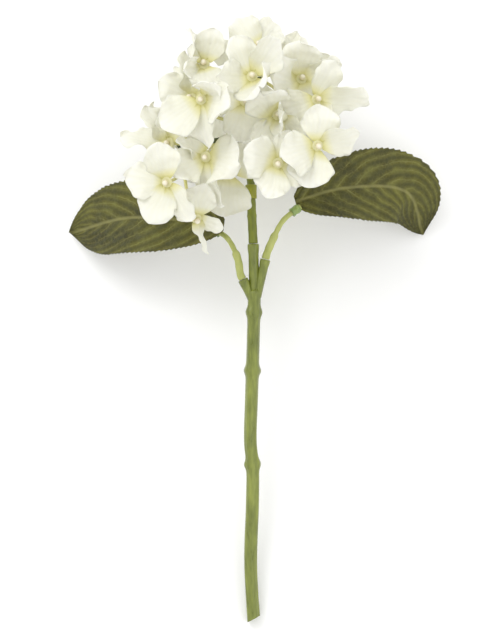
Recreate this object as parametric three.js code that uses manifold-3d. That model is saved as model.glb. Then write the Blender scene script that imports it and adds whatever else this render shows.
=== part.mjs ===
import * as THREE from "three";
import { mergeVertices } from "three/addons/utils/BufferGeometryUtils.js";
import Module from "manifold-3d";

// A cut hydrangea laid on its back, in millimetres.
// It is built upright first: X to the right, Y up the stem from the cut end, Z to the face of the head.
// The last section tips it back until the cut end and the head's back petals rest on the surface.

const wasm = await Module();
wasm.setup();

// ---- Driving sizes ----
const gap = 0.3; // between pieces that touch

const stemLength = 213; // cut end to the fork
const stemRadius = 4.1;
const knuckleSwell = 1.2; // how far a leaf scar stands out from the stem
const cutAngle = 26; // degrees, of the cut end
const jointHeight = 29; // fork to the joint half way up to the collar
const upperStemLength = 29; // joint to the collar
const upperStemRadius = 3;
const collarLength = 9;
const collarRadius = 3.7;
const peduncleLength = 40; // collar to the crown
const peduncleRadius = 2.6;
const crownRadius = 4.6;

const armRadius = 3.3; // of the fork's middle arm
const socketRadius = 2.9; // of the short arms that hold the leaf stalks
const petioleRadius = 1.7;
const sleeveRadius = 2.5;
const clipWall = 0.9;
const leafLength = 116; // along the midrib
const leafWidth = 50;
const leafThickness = 1.2;
const leafDrop = 46; // how far a leaf's tip hangs behind the stem

const headRadius = 62; // centre of the head to the middle of an outer floret
const branchRadius = 1.7;
const knobRadius = 3.2; // the fork at the end of a branch
const pedicelRadius = 1.1;
const pearlRadius = 1.9;
const petalLength = 29;
const petalWidth = 27;
const petalThickness = 1.0;
const clawWidth = 4.4; // a petal's width where it leaves the hub
const hubRadius = 3.4;
const hubThickness = 1.6;
const hubTurn = 26; // degrees, so that the hub's corners lie clear of the petals' edges
const sliver = 0.01; // faces thinner than this are merged with their neighbours

const degrees = Math.PI / 180;
const vector = (x, y, z) => new THREE.Vector3(x, y, z);
const collarHeight = stemLength + jointHeight + upperStemLength;
const crown = vector(-2, collarHeight + peduncleLength, -4);
const headCentre = crown.clone().add(vector(-3, 9, 4));

// ---- Florets ----
// Place of the eye from the head's centre in a head of radius 62, yaw and pitch of the face,
// then each petal as seen from the front of the head: direction, lean towards the front, share of
// length, share of width, and roll about its length, which is 0 where the blade shows most width.
const nominalHeadRadius = 62;
const frontFlorets = [
  [[45, -19, 71], 12, -8,
    [[201, 28, 0.9, 1.05, 0], [83, 15, 0.88, 0.88, 0], [14, 8, 0.95, 0.85, 50], [255, 5, 0.93, 1.05, 0]]],
  [[21, -30, 73], 0, -10,
    [[166, 46, 0.9, 1.02, 0], [255, 36, 0.85, 0.85, 0], [340, -14, 0.8, 0.8, 0], [60, -22, 0.8, 0.75, 0]]],
  [[21, 1, 52], 5, 10,
    [[104, 72, 0.95, 1.08, 0], [0, 84, 0.8, 0.7, 0], [248, 12, 0.92, 0.92, 0], [312, 5, 0.85, 0.75, 45]]],
  [[1, 10, 44], 0, 0,
    [[265, 26, 0.95, 0.98, 0], [170, 2, 0.75, 0.8, 0], [10, -6, 0.7, 0.75, 0], [90, -18, 0.6, 0.75, 0]]],
  [[5, 21, 46], 0, 15,
    [[322, 82, 0.9, 1.12, 0], [56, 6, 1.02, 0.88, 22], [113, 8, 0.97, 0.85, 25], [175, 42, 0.88, 0.78, 0]]],
  [[-25, 34, 34], -12, 25,
    [[280, 42, 0.7, 0.8, 0], [80, 25, 0.85, 0.74, 0], [113, 8, 0.9, 0.6, 70], [165, 60, 0.65, 0.55, 0]]],
  [[-26, 10, 58], -8, 0,
    [[344, 66, 0.95, 1, 0], [216, 6, 1.05, 0.98, 0], [277, 0, 1.08, 0.78, 50], [68, 78, 0.8, 0.75, 0]]],
  [[-33, 13, 30], -35, 15,
    [[104, 5, 1.05, 0.7, 62], [152, 12, 0.85, 0.78, 0], [200, 30, 0.8, 0.7, 0], [345, -15, 0.85, 0.85, 0]]],
  [[-47, -15, 28], -40, 0,
    [[174, 4, 1.12, 0.82, 54], [85, 42, 0.9, 0.85, 0], [130, 2, 1, 0.72, 52], [250, -30, 0.7, 0.7, 0]]],
  [[-48, -41, 56], -20, -10,
    [[108, 32, 0.92, 0.85, 0], [302, 6, 1, 0.8, 50], [245, 8, 0.98, 0.9, 0], [177, 8, 0.93, 0.9, 0]]],
  [[-24, -25, 50], -12, -8,
    [[341, 55, 1, 1.28, 0], [206, 26, 0.87, 0.85, 0], [284, 0, 1.18, 0.7, 60], [150, 18, 0.75, 0.65, 66]]],
  [[-9, -34, 34], 0, -20,
    [[262, 8, 0.98, 1.22, 0], [35, -10, 0.9, 0.95, 0], [175, -10, 0.85, 0.8, 0], [110, -20, 0.7, 0.7, 0]]],
  [[-30, -63, 39], 20, -35,
    [[334, 0, 0.64, 0.36, 25], [290, 4, 0.86, 0.42, 75], [78, 25, 0.85, 0.78, 0], [150, 30, 0.6, 0.5, 0]]],
  [[45, 11, 46], 30, 8,
    [[3, 4, 1.18, 0.9, 46], [60, 6, 0.95, 0.78, 38], [305, 5, 0.85, 0.7, 50], [200, -15, 0.8, 0.85, 0]]],
  [[36, 25, 30], 15, 25,
    [[160, 62, 1, 1, 0], [84, 38, 0.92, 0.98, 0], [30, 5, 0.98, 0.67, 50], [285, -10, 0.8, 0.85, 0]]],
  [[9, 47, 12], 0, 45,
    [[125, -20, 0.9, 0.8, 0], [55, -28, 0.9, 0.8, 0], [92, -50, 0.9, 0.75, 0], [270, 10, 0.7, 0.7, 0]]],
  [[28, 41, 0], 25, 40,
    [[5, 0, 1, 0.7, 60], [105, -45, 0.85, 0.8, 0], [50, -40, 0.85, 0.75, 0], [250, 0, 0.7, 0.7, 0]]],
];

// The florets that close the back: place, yaw, pitch, turn of the first petal and rise of the petals.
const backFlorets = [
  [[-34, 26, -8], -75, 35, 20, 24],
  [[46, 4, -18], 105, 5, 50, 24],
  [[-46, -6, -14], -110, -5, 35, 24],
  [[4, 40, -28], 175, 45, 15, 22],
  [[-24, -14, -42], -155, -10, 40, 20],
  [[24, -8, -42], 155, -5, 55, 20],
];

// Turn in the face, rise out of it and twist of a petal given as seen from the front.
function petalSeen([direction, lean, reach, breadth, roll], yaw, pitch) {
  const [right, above, facing] = [vector(), vector(), vector()];
  poseOf(vector(0, 0, 0), yaw, pitch).extractBasis(right, above, facing);
  const level = Math.cos(lean * degrees);
  const tip = vector(level * Math.cos(direction * degrees), level * Math.sin(direction * degrees), 0);
  tip.z = Math.sin(lean * degrees);
  const squareTo = (way) => way.clone().addScaledVector(tip, -way.dot(tip)).normalize();
  const [untwisted, shown] = [squareTo(facing), squareTo(vector(0, 0, 1))];
  const offset = Math.atan2(untwisted.clone().cross(shown).dot(tip), untwisted.dot(shown)) / degrees;
  return {
    turn: Math.atan2(tip.dot(above), tip.dot(right)) / degrees,
    rise: Math.asin(tip.dot(facing)) / degrees,
    twist: offset - 180 * Math.round(offset / 180) + roll,
    reach,
    breadth,
  };
}

// Four petals a quarter turn apart.
function petalsEven(turn, rise) {
  return [0, 1, 2, 3].map((k) => ({
    turn: turn + 90 * k,
    rise: rise + 3 * k,
    twist: 0,
    reach: 0.95,
    breadth: 0.9,
  }));
}

function poseOf(at, yaw, pitch) {
  const turn = new THREE.Euler(-pitch * degrees, yaw * degrees, 0, "YXZ");
  return new THREE.Matrix4().makeRotationFromEuler(turn).setPosition(at);
}

const florets = [
  ...frontFlorets.map(([at, yaw, pitch, seen]) => {
    return { at, yaw, pitch, petals: seen.map((petal) => petalSeen(petal, yaw, pitch)) };
  }),
  ...backFlorets.map(([at, yaw, pitch, turn, rise]) => {
    return { at, yaw, pitch, petals: petalsEven(turn, rise) };
  }),
].map((floret, i) => ({ ...floret, number: i + 1 }));

// Ends of the branches from the head's centre, in a head of radius 62.
const branchEnds = [
  [-40, -15, 8],
  [25, -4, 16],
  [-4, 6, 20],
  [8, 27, 4],
  [2, 2, -22],
];

// ---- Solids ----
function solidOf(geometry) {
  const bare = geometry.clone();
  bare.deleteAttribute("normal");
  bare.deleteAttribute("uv");
  const merged = mergeVertices(bare, 1e-4);
  return new wasm.Manifold(
    new wasm.Mesh({
      numProp: 3,
      vertProperties: merged.attributes.position.array,
      triVerts: new Uint32Array(merged.index.array),
    }),
  );
}

function geometryOf(solid) {
  const mesh = solid.getMesh();
  const geometry = new THREE.BufferGeometry();
  geometry.setAttribute("position", new THREE.BufferAttribute(mesh.vertProperties, 3));
  geometry.setIndex(new THREE.BufferAttribute(mesh.triVerts, 1));
  const flat = geometry.toNonIndexed();
  flat.computeVertexNormals();
  return flat;
}

// A closed body through rings of equal count. Each ring turns anticlockwise about the way forward.
function loft(rings) {
  const count = rings[0].length;
  const points = rings.flat();
  const first = points.push(middleOf(rings[0])) - 1;
  const last = points.push(middleOf(rings.at(-1))) - 1;
  const end = (rings.length - 1) * count;
  const index = [];
  for (let j = 0; j < count; j++) {
    const next = (j + 1) % count;
    index.push(first, next, j, last, end + j, end + next);
    for (let row = 0; row < end; row += count) {
      index.push(...splitFace(points, row + j, row + next, row + count + next, row + count + j));
    }
  }
  return solidOf(new THREE.BufferGeometry().setFromPoints(points).setIndex(index));
}

// A four-sided face as two triangles, cut along its shorter diagonal.
function splitFace(points, a, b, c, d) {
  const isShort = points[a].distanceTo(points[c]) < points[b].distanceTo(points[d]);
  return isShort ? [a, b, c, a, c, d] : [a, b, d, b, c, d];
}

function middleOf(ring) {
  const sum = ring.reduce((total, point) => total.add(point), vector(0, 0, 0));
  return sum.divideScalar(ring.length);
}

// A round body along a list of points, with a radius for each.
function sweep(points, radii, sides) {
  const tangents = points.map((point, i) => {
    const before = points[Math.max(i - 1, 0)];
    const after = points[Math.min(i + 1, points.length - 1)];
    return after.clone().sub(before).normalize();
  });
  const side = vector(0.31, 0.2, 1).cross(tangents[0]).normalize();
  const rings = points.map((point, i) => {
    side.addScaledVector(tangents[i], -side.dot(tangents[i])).normalize();
    const across = tangents[i].clone().cross(side);
    return Array.from({ length: sides }, (_, j) => {
      const angle = (2 * Math.PI * j) / sides;
      const out = side.clone().multiplyScalar(Math.cos(angle)).addScaledVector(across, Math.sin(angle));
      return point.clone().addScaledVector(out, radii[i]);
    });
  });
  return loft(rings);
}

function sweepCurve(curve, radiusAt, sides, steps) {
  const shares = Array.from({ length: steps + 1 }, (_, i) => i / steps);
  return sweep(shares.map((u) => curve.getPointAt(u)), shares.map(radiusAt), sides);
}

function ball(centre, radius) {
  return solidOf(new THREE.IcosahedronGeometry(radius, 1)).translate(centre.toArray());
}

const ramp = THREE.MathUtils.smoothstep;

// ---- Stem ----
const stemPath = new THREE.CatmullRomCurve3(
  [[1, 0], [-0.9, 0.18], [0.4, 0.36], [0.5, 0.47], [-0.9, 0.54], [-0.2, 0.68], [0.7, 0.83], [1.5, 1]].map(
    ([x, share]) => vector(x, stemLength * share, 0),
  ),
);
const knuckles = [0.475, 0.755, 0.93]; // shares of the stem's length
const fork = vector(1.5, stemLength - 4, 0);
const joint = vector(0.8, stemLength + jointHeight, 0);
const leftSocket = [vector(0, stemLength - 6, 0), vector(-5.9, stemLength + 6.2, 1)];
const rightSocket = [vector(3, stemLength - 5, 0), vector(8.6, stemLength + 19, 1)];

function stemRadiusAt(share) {
  const away = Math.min(...knuckles.map((at) => Math.abs(share - at) * stemLength));
  return stemRadius + knuckleSwell * Math.exp(-away * away / 10);
}

function makeStem() {
  const trunk = sweepCurve(stemPath, stemRadiusAt, 10, 30);
  const middle = sweep([fork, joint], [armRadius, armRadius], 10);
  const sockets = [leftSocket, rightSocket].map((ends) => sweep(ends, [socketRadius, socketRadius], 8));
  const waste = new THREE.BoxGeometry(40, 10, 40);
  waste.translate(0, -5, 0);
  waste.rotateZ(cutAngle * degrees);
  waste.translate(0, 1.6, 0);
  return trunk.add(middle).add(sockets[0]).add(sockets[1]).subtract(solidOf(waste));
}

const collarFoot = vector(-0.6, collarHeight, -1);

function makeUpperStem() {
  const ends = [joint.clone().add(vector(0, gap, 0)), collarFoot.clone().add(vector(0, -gap, 0))];
  return sweep(ends, [upperStemRadius, upperStemRadius], 10);
}

function makePeduncle() {
  const lip = collarFoot.clone().add(vector(0, collarLength, -0.4));
  const lengths = [collarFoot, lip, lip.clone().add(vector(0, 1.2, 0)), crown];
  const radii = [collarRadius, collarRadius, peduncleRadius, peduncleRadius];
  return sweep(lengths, radii, 10).add(ball(crown, crownRadius));
}

// ---- Leaves and their stalks ----
const leafSides = {
  left: {
    socket: leftSocket,
    stalk: [[-9, 19, 1], [-14.5, 31, -4], [-20, 36, -9], [-28, 38, -11]],
    base: [-16.5, 41, -5],
    midrib: [[-52, 45, 0.08], [-80, 46, 0.22], [-119, 37, 1]],
    lean: 10,
  },
  right: {
    socket: rightSocket,
    stalk: [[13, 31, 1], [20, 44, 0], [31, 53, -3]],
    base: [26.5, 56, -8],
    midrib: [[60, 65, 0.11], [100, 63, 0.48], [112, 36, 1]],
    lean: -8,
  },
};
const nominalLeafLength = 116;

// The midrib spreads from its base with the leaf's length. Past the base, the last number of a
// point is a share of the leaf's drop.
function midribOf({ base, midrib }) {
  const stretch = leafLength / nominalLeafLength;
  const [startX, startY, startZ] = base;
  const start = vector(startX, stemLength + startY, startZ);
  const rest = midrib.map(([x, y, share]) => {
    const away = vector(x - startX, y - startY, 0).multiplyScalar(stretch);
    return vector(start.x + away.x, start.y + away.y, -leafDrop * share);
  });
  return [start, ...rest];
}

function leafHalfWidth(share) {
  return 0.56 * leafWidth * (1 - (1 - share) ** 3) ** 0.6 * (1 - share ** 4.5);
}

function makeLeaf(side) {
  const curve = new THREE.CatmullRomCurve3(midribOf(side));
  const shares = [0.015, 0.08, 0.18, 0.3, 0.42, 0.54, 0.66, 0.77, 0.87, 0.95, 0.985];
  const rings = shares.map((share) => {
    const centre = curve.getPointAt(share);
    const along = curve.getTangentAt(share);
    const face = vector(0, 0, 1).applyAxisAngle(along, side.lean * degrees);
    const across = face.clone().cross(along).normalize();
    const up = along.clone().cross(across);
    const half = leafHalfWidth(share);
    const top = [1, 0.5, 0, -0.5, -1].map((t) => {
      const lift = 0.2 * Math.abs(t) * half;
      return centre.clone().addScaledVector(across, t * half).addScaledVector(up, lift);
    });
    const under = top.map((point) => point.clone().addScaledVector(up, -leafThickness)).reverse();
    return top.concat(under);
  });
  return loft(rings);
}

function petiolePath(side) {
  const [foot, mouth] = side.socket;
  const along = mouth.clone().sub(foot).normalize();
  const start = mouth.clone().addScaledVector(along, gap);
  const inLine = start.clone().addScaledVector(along, 3);
  const stalk = side.stalk.map(([x, y, z]) => vector(x, stemLength + y, z));
  return new THREE.CatmullRomCurve3([start, inLine, ...stalk]);
}

function makePetiole(side) {
  const radiusAt = (share) => sleeveRadius + (petioleRadius - sleeveRadius) * ramp(share, 0.38, 0.44);
  return sweepCurve(petiolePath(side), radiusAt, 8, 14);
}

// A short sleeve round the end of the leaf's stalk.
function makeClip(side) {
  const path = petiolePath(side);
  const points = [0.83, 0.9, 0.97].map((share) => path.getPointAt(share));
  const outer = sweep(points, points.map(() => petioleRadius + gap + clipWall), 8);
  return outer.subtract(sweepCurve(path, () => petioleRadius + gap, 8, 14));
}

// ---- Floret ----
// A petal's middle line leaves the hub at its rise, then curls back towards the tip.
function middleLine(length, rise, curl) {
  const steps = 60;
  const stride = (length - hubRadius + 1) / steps;
  const line = [{ out: hubRadius - 1, up: 0, tilt: 0 }];
  for (let i = 1; i <= steps; i++) {
    const share = i / steps;
    const tilt = (rise * ramp(share, 0, 0.3) + 2 * curl * share ** 2) * degrees;
    const before = line[i - 1];
    line.push({
      out: before.out + stride * Math.cos(tilt),
      up: before.up + stride * Math.sin(tilt),
      tilt,
    });
  }
  return (share) => line[Math.round(share * steps)];
}

function petalHalfWidth(share, width) {
  const blade = (width / 2) * Math.sin(Math.PI * share ** 1.1) ** 0.62;
  return Math.hypot(blade, (clawWidth / 2) * (1 - share));
}

// Across the petal and through it, as shares of half its width and of its thickness.
const petalSection = [
  [1, 0.2],
  [0, 0.5],
  [-1, 0.2],
  [-1, -0.2],
  [0, -0.5],
  [1, -0.2],
];

function makePetal({ turn, rise, reach, breadth, twist }, layer, phase, padding) {
  const length = petalLength * reach;
  const width = petalWidth * breadth;
  const line = middleLine(length, rise, -10 + 8 * Math.sin(phase));
  const cup = 0.1 + 0.06 * Math.sin(3.1 * phase);
  const rings = [0, 0.3, 0.7, 0.97].map((share) => {
    const { out, up, tilt } = line(share);
    const half = petalHalfWidth(share, width) + padding;
    const turned = (twist + 5 * Math.sin(1.9 * phase)) * degrees * ramp(share, 0, 0.5);
    const place = (t, level) => {
      const across = t * half;
      const lift = (3.2 * cup * across ** 2) / width + level * (petalThickness + 2 * padding);
      const sideways = across * Math.cos(turned) - lift * Math.sin(turned);
      const outwards = across * Math.sin(turned) + lift * Math.cos(turned);
      const stack = 0.5 * (1.5 - layer) * ramp(share, 0, 0.3);
      const forwards = out - outwards * Math.sin(tilt);
      const upwards = up + outwards * Math.cos(tilt) + stack;
      return vector(forwards, sideways, upwards).applyAxisAngle(vector(0, 0, 1), turn * degrees);
    };
    return petalSection.map(([t, level]) => place(t, level));
  });
  return loft(rings);
}

function disc(radius, thickness, sides) {
  return solidOf(new THREE.CylinderGeometry(radius, radius, thickness, sides).rotateX(Math.PI / 2));
}

// Four petals on a hub that the floret's stalk passes through.
function makeCorolla(petals, phase, padding) {
  let corolla = disc(hubRadius + padding, hubThickness + 2 * padding, 6).rotate([0, 0, hubTurn]);
  petals.forEach((petal, layer) => {
    corolla = corolla.add(makePetal(petal, layer, phase + 2.3 * layer, padding));
  });
  const hole = disc((pedicelRadius + gap) / Math.cos(Math.PI / 6), 4 * hubThickness, 6);
  return padding > 0 ? corolla : outerSkin(corolla.subtract(hole));
}

// The same body without needle-thin faces, and with any pocket shut in between its petals filled.
function outerSkin(solid) {
  const skins = solid.simplify(sliver).decompose();
  return skins.reduce((largest, skin) => (skin.volume() > largest.volume() ? skin : largest));
}

// The length of a solid's shortest edge, or 0 where more than two faces meet along an edge.
function shortestEdge(solid) {
  const { vertProperties, triVerts } = solid.getMesh();
  const corner = (i) => vector(...vertProperties.slice(3 * triVerts[i], 3 * triVerts[i] + 3));
  const uses = new Map();
  let shortest = Infinity;
  for (let i = 0; i < triVerts.length; i++) {
    const [from, to] = [corner(i), corner(i % 3 === 2 ? i - 2 : i + 1)];
    const edge = [from, to].map((point) => point.toArray().map((x) => x.toFixed(3)).join()).sort().join();
    uses.set(edge, (uses.get(edge) ?? 0) + 1);
    shortest = Math.min(shortest, from.distanceTo(to));
  }
  return Math.max(...uses.values()) > 2 ? 0 : shortest;
}

// How a floret's petals curl, cup and twist follows its phase. Where petals cross they can leave
// bad edges, so the phase moves on a little at a time until the shortest edge is long enough.
function phaseOf(petals, number) {
  const phases = Array.from({ length: 24 }, (_, i) => 1.7 * number + 0.06 * i);
  const edges = phases.map((phase) => shortestEdge(makeCorolla(petals, phase, 0)));
  const first = edges.findIndex((edge) => edge > 0.1 * sliver);
  return phases[first < 0 ? edges.indexOf(Math.max(...edges)) : first];
}

// Half way between two points, a stalk may bow aside by these amounts until it meets nothing.
const bows = [[0, 0]];
for (const size of [6, 11, 16]) {
  for (let turn = 0; turn < 360; turn += 45) {
    bows.push([size * Math.cos(turn * degrees), size * Math.sin(turn * degrees)]);
  }
}

function stalkPoints(knob, eye, facing, [aside, above]) {
  const neck = eye.clone().addScaledVector(facing, -2.4);
  const reach = neck.distanceTo(knob);
  const sideways = facing.clone().cross(vector(0, 1, 0.01)).normalize();
  const upwards = sideways.clone().cross(facing);
  const bow = sideways.multiplyScalar(aside).addScaledVector(upwards, above);
  const late = neck.clone().addScaledVector(facing, -0.4 * reach).addScaledVector(bow, 0.5);
  const early = knob.clone().lerp(late, 0.5).add(bow);
  const start = knob.clone().addScaledVector(early.clone().sub(knob).normalize(), knobRadius + gap);
  const curve = new THREE.CubicBezierCurve3(start, early, late, neck);
  const top = eye.clone().addScaledVector(facing, hubThickness / 2 + gap);
  return [...curve.getPoints(4), top];
}

function makePedicel(points, padding) {
  const radii = points.map(() => pedicelRadius + padding);
  const top = points.at(-1);
  const along = top.clone().sub(points.at(-2)).normalize();
  const pearl = pearlRadius + padding;
  const rounds = [-55, -15, 25, 65];
  const pearlPoints = rounds.map((round) => {
    return top.clone().addScaledVector(along, pearlRadius + pearl * Math.sin(round * degrees));
  });
  const pearlRadii = rounds.map((round) => pearl * Math.cos(round * degrees));
  return sweep([...points, ...pearlPoints], [...radii, ...pearlRadii], 6);
}

// ---- Assembly ----
const placed = []; // { name, solid, kind }

function place(name, kind, solid) {
  placed.push({ name, kind, solid, box: solid.boundingBox() });
}

function boxesMeet(a, b) {
  return [0, 1, 2].every((axis) => a.min[axis] < b.max[axis] && b.min[axis] < a.max[axis]);
}

function isClear(solid) {
  const box = solid.boundingBox();
  const near = placed.filter((piece) => boxesMeet(box, piece.box));
  return near.every((piece) => solid.intersect(piece.solid).isEmpty());
}

place("stem", "stem", makeStem());
place("upper_stem", "stem", makeUpperStem());
place("peduncle", "stem", makePeduncle());
for (const [name, side] of Object.entries(leafSides)) {
  place("petiole_" + name, "petiole", makePetiole(side));
  place("leaf_clip_" + name, "clip", makeClip(side));
  place("leaf_" + name, "leaf", makeLeaf(side));
}

const headScale = headRadius / nominalHeadRadius;
const fromHead = (place) => vector(...place).multiplyScalar(headScale).add(headCentre);

const knobs = branchEnds.map((end, i) => {
  const knob = fromHead(end);
  const away = knob.clone().sub(crown).normalize();
  const start = crown.clone().addScaledVector(away, crownRadius + gap);
  const rod = sweep([start, knob], [branchRadius, branchRadius], 8);
  place("branch_" + (i + 1), "branch", rod.add(ball(knob, knobRadius)));
  return knob;
});

// Finds a stalk from the nearest branch end it can that passes clear of every piece already placed.
function routeOf(eye, facing) {
  const nearest = [...knobs].sort((a, b) => a.distanceTo(eye) - b.distanceTo(eye));
  for (const knob of nearest) {
    for (const bow of bows) {
      const points = stalkPoints(knob, eye, facing, bow);
      if (isClear(makePedicel(points, 0.9 * gap))) {
        return points;
      }
    }
  }
  return null;
}

// Florets near the middle of the head go in first. Each of the rest moves out along the way it
// faces until its petals and its stalk clear what is there.
const slideStep = 1.5;
const mostSlides = 30;
florets.sort((a, b) => vector(...a.at).length() - vector(...b.at).length());

for (const { at, yaw, pitch, petals, number } of florets) {
  const facing = vector(0, 0, 1).transformDirection(poseOf(vector(0, 0, 0), yaw, pitch));
  const phase = phaseOf(petals, number);
  const padded = makeCorolla(petals, phase, 0.9 * gap);
  const label = String(number).padStart(2, "0");
  for (let slide = 0; slide < mostSlides; slide++) {
    const eye = fromHead(at).addScaledVector(facing, slide * slideStep);
    const pose = poseOf(eye, yaw, pitch).elements;
    const points = isClear(padded.transform(pose)) ? routeOf(eye, facing) : null;
    if (points) {
      place("corolla_" + label, "corolla", makeCorolla(petals, phase, 0).transform(pose));
      place("pedicel_" + label, "pedicel", makePedicel(points, 0));
      break;
    }
  }
}

// ---- Laying down ----
function lowest(pieces, tip) {
  let low = Infinity;
  for (const { solid } of pieces) {
    const mesh = solid.getMesh();
    for (let i = 0; i < mesh.vertProperties.length; i += 3) {
      const [y, z] = [mesh.vertProperties[i + 1], mesh.vertProperties[i + 2]];
      low = Math.min(low, y * Math.sin(tip) + z * Math.cos(tip));
    }
  }
  return low;
}

// The tip at which the stem and the rest of the flower reach equally low.
function restingTip() {
  const stem = placed.filter((piece) => piece.name === "stem");
  const rest = placed.filter((piece) => piece.name !== "stem");
  let [low, high] = [0, 45 * degrees];
  for (let i = 0; i < 30; i++) {
    const tip = (low + high) / 2;
    if (lowest(rest, tip) < lowest(stem, tip)) {
      low = tip;
    } else {
      high = tip;
    }
  }
  return (low + high) / 2;
}

const looks = {
  stem: { color: 0x7c8638, roughness: 0.45 },
  petiole: { color: 0xa9b06a, roughness: 0.5 },
  clip: { color: 0x8a8e40, roughness: 0.25 },
  leaf: { color: 0x5e5f38, roughness: 0.75 },
  branch: { color: 0x4c5a22, roughness: 0.6 },
  pedicel: { color: 0xd9d3a4, roughness: 0.5 },
  corolla: { color: 0xe6e6da, roughness: 0.8 },
};

const laid = new THREE.Group();
for (const { name, kind, solid } of placed) {
  const material = new THREE.MeshStandardMaterial({ ...looks[kind], metalness: 0 });
  const mesh = new THREE.Mesh(geometryOf(solid), material);
  mesh.name = name;
  laid.add(mesh);
}
laid.rotation.x = restingTip();

const hydrangea = new THREE.Group();
hydrangea.add(laid);
hydrangea.updateMatrixWorld(true);
const box = new THREE.Box3().setFromObject(hydrangea, true);
const middle = box.getCenter(vector(0, 0, 0));
laid.position.set(-middle.x, -middle.y, -box.min.z);

export default hydrangea;
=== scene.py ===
import bpy
import numpy as np
from mathutils import Matrix, Vector


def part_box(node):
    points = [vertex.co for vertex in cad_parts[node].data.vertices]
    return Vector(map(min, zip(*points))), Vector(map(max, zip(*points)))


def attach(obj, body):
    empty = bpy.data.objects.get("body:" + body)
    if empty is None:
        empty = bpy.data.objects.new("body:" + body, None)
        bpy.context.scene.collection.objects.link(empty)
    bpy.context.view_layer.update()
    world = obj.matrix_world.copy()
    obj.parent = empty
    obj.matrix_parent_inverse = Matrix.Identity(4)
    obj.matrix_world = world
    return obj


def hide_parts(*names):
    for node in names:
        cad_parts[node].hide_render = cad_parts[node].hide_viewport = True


# A cut hydrangea lying on its back. Shapes are worked out upright in millimetres, X to the right,
# Y up the stem from the cut end and Z to the face of the head, then laid down in metres.

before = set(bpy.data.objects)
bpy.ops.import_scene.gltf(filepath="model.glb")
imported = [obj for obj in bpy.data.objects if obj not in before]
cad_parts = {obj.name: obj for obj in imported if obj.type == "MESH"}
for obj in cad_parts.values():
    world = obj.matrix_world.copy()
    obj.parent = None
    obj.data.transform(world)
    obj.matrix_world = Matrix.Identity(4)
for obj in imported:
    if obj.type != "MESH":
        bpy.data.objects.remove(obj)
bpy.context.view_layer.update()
print("frame loaded")

view = bpy.context.scene.view_settings
view.view_transform = "Standard"
view.look = "None"


def unit(v):
    # Each vector divided by its length.
    v = np.asarray(v, float)
    return v / np.linalg.norm(v, axis=-1, keepdims=True)


def ramp(x, low, high):
    # 0 below low, 1 above high and 3x^2 - 2x^3 between
    x = np.clip((np.asarray(x, float) - low) / (high - low), 0, 1)
    return x * x * (3 - 2 * x)


spanPoints = 60   # points worked out on each span of a path


def smoothPath(points, shares):
    # A centripetal spline through the points, read at the given shares of its length. Each span is a
    # cubic whose two slopes come from its neighbours, weighted by the square roots of the gaps.
    p = np.asarray(points, float)
    p = np.vstack([2 * p[0] - p[1], p, 2 * p[-1] - p[-2]])
    gaps = np.sqrt(np.linalg.norm(np.diff(p, axis=0), axis=1))[:, None]
    a, b, c, d = p[:-3], p[1:-2], p[2:-1], p[3:]
    before, here, after = gaps[:-2], gaps[1:-1], gaps[2:]
    leave = ((b - a) / before - (c - a) / (before + here) + (c - b) / here) * here
    arrive = ((c - b) / here - (d - b) / (here + after) + (d - c) / after) * here
    t = np.linspace(0, 1, spanPoints)[:, None, None]
    line = (
        (2 * t**3 - 3 * t**2 + 1) * b
        + (t**3 - 2 * t**2 + t) * leave
        + (3 * t**2 - 2 * t**3) * c
        + (t**3 - t**2) * arrive
    )
    line = line.transpose(1, 0, 2).reshape(-1, 3)
    run = np.concatenate([[0], np.cumsum(np.linalg.norm(np.diff(line, axis=0), axis=1))])
    return readOff(np.asarray(shares) * run[-1], run, line)


def readOff(at, marks, line):
    # Each coordinate of a line of points, read between its marks.
    return np.stack([np.interp(at, marks, line[:, k]) for k in range(3)], axis=-1)


def pathFrames(path):
    # Way along, then two ways square to it that turn as little as they can: each side is the one
    # before it, less its share along the path.
    along = unit(np.gradient(path, axis=0))
    offLine = (0.31, 0.2, 1)   # runs along none of the paths
    side = unit(np.cross(offLine, along[0]))
    sides = []
    for way in along:
        side = unit(side - way * np.dot(side, way))
        sides.append(side)
    sides = np.array(sides)
    return along, sides, np.cross(along, sides)


def tube(path, radii, count=16, shape=None):
    # Rings about a path: point = path + radius (cos(angle) side + sin(angle) across).
    # shape(share, angle) is a share of the radius that changes along the path and round the ring.
    along, side, across = pathFrames(path)
    angle = np.linspace(0, 2 * np.pi, count, endpoint=False)[None, :]
    share = np.linspace(0, 1, len(path))[:, None]
    radius = np.asarray(radii, float)[:, None] * (1 if shape is None else shape(share, angle))
    ring = path[:, None] + radius[..., None] * (
        np.cos(angle)[..., None] * side[:, None] + np.sin(angle)[..., None] * across[:, None]
    )
    place = np.stack(np.broadcast_arrays(share, angle / (2 * np.pi), 0 * share), axis=-1)
    return closed(ring, place)


def closed(rings, place):
    # A skin through rings of equal count, shut at both ends by a point in the middle.
    rows, count, _ = rings.shape
    ends = np.array([rings[0].mean(axis=0), rings[-1].mean(axis=0)])
    points = np.vstack([rings.reshape(-1, 3), ends])
    marks = np.vstack([place.reshape(-1, 3), place[0].mean(axis=0), place[-1].mean(axis=0)])
    row, col = np.meshgrid(np.arange(rows - 1), np.arange(count), indexing="ij")
    here, beside = row * count + col, row * count + (col + 1) % count
    quads = np.stack([here, beside, beside + count, here + count], axis=-1).reshape(-1, 4)
    j = np.arange(count)
    first = np.stack([np.full(count, rows * count), (j + 1) % count, j], axis=1)
    top = (rows - 1) * count
    last = np.stack([np.full(count, rows * count + 1), top + j, top + (j + 1) % count], axis=1)
    return points, quads, np.vstack([first, last]), marks


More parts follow.
